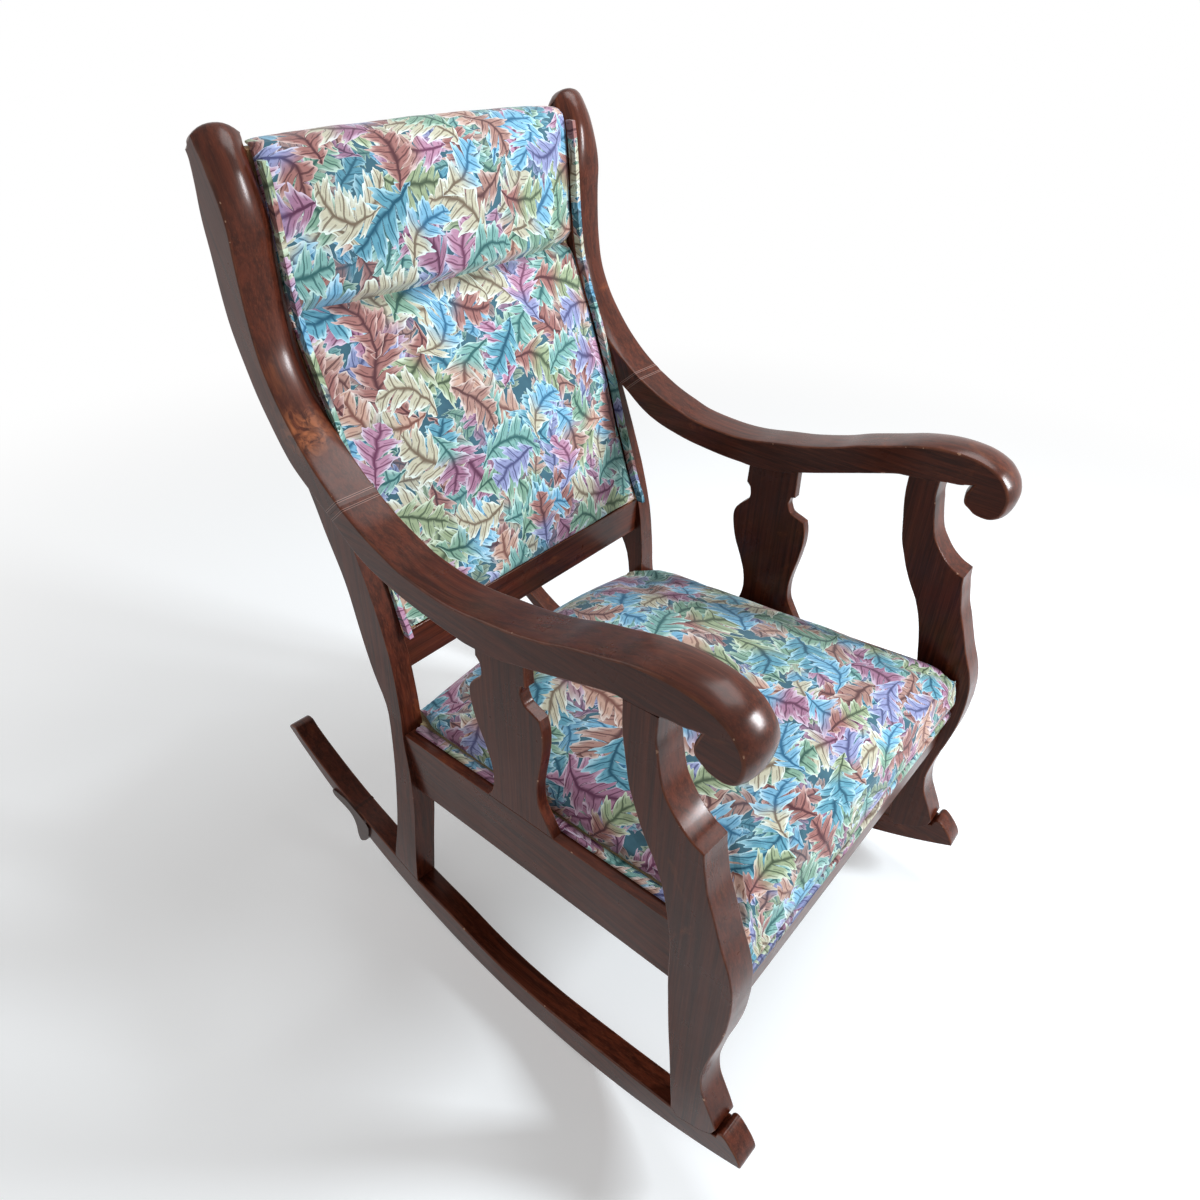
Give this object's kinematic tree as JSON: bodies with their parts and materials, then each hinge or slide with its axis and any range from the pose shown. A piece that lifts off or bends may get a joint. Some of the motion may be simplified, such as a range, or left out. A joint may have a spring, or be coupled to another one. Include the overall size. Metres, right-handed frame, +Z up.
{
  "type": "rocking chair",
  "caption": "Upholstered wooden rocking chair with scrolled arms, tall curved wings, shaped side splats and long curved runners, covered in leaf-pattern tapestry.",
  "frame": {"origin": "centre of the chair's outline on the floor, at the height of the lowest point of the runners", "axes": "+Z up, -Y towards the front of the chair, +X to the sitter's left; the chair stands on the middle of its runners as in the picture, and empty it leans about 7 degrees further back in simulation"},
  "size_m": [0.6322, 0.9112, 1.0649],
  "materials": {
    "mahogany": "dark red-brown varnish, glossy, worn at the edges",
    "bare_wood": "bare sawn hardwood inside the frame",
    "tapestry": "woven tapestry with scattered leaves on a dark teal ground",
    "canvas": "plain unbleached webbing and canvas",
    "cambric": "thin plain black cloth",
    "steel": "dull steel wire and heads"
  },
  "bodies": {
    "root": {"runner_right": "mahogany", "runner_left": "mahogany", "heel_block_right": "mahogany", "heel_block_left": "mahogany", "front_post_right": "mahogany", "front_post_left": "mahogany", "arm_right": "mahogany", "arm_left": "mahogany", "wing_right": "mahogany", "wing_left": "mahogany", "back_post_right": "mahogany", "back_post_left": "mahogany", "splat_right": "mahogany", "splat_left": "mahogany", "side_rail_right": "mahogany", "side_rail_left": "mahogany", "front_rail": "mahogany", "rear_rail": "mahogany", "back_lower_rail": "mahogany", "back_stile_right": "bare_wood", "back_stile_left": "bare_wood", "crest_rail": "bare_wood", "corner_block_front_right": "bare_wood", "corner_block_front_left": "bare_wood", "corner_block_rear_right": "bare_wood", "corner_block_rear_left": "bare_wood", "seat_webbing": "canvas", "seat_springs": "steel", "seat_deck": "canvas", "seat_cushion": "tapestry", "seat_border": "tapestry", "seat_welt": "tapestry", "dust_cover": "cambric", "back_webbing": "canvas", "back_cushion": "tapestry", "headrest": "tapestry", "back_welt": "tapestry", "outside_back": "tapestry", "dowels": "bare_wood", "screws": "steel", "tacks": "steel"}
  },
  "joints": []
}
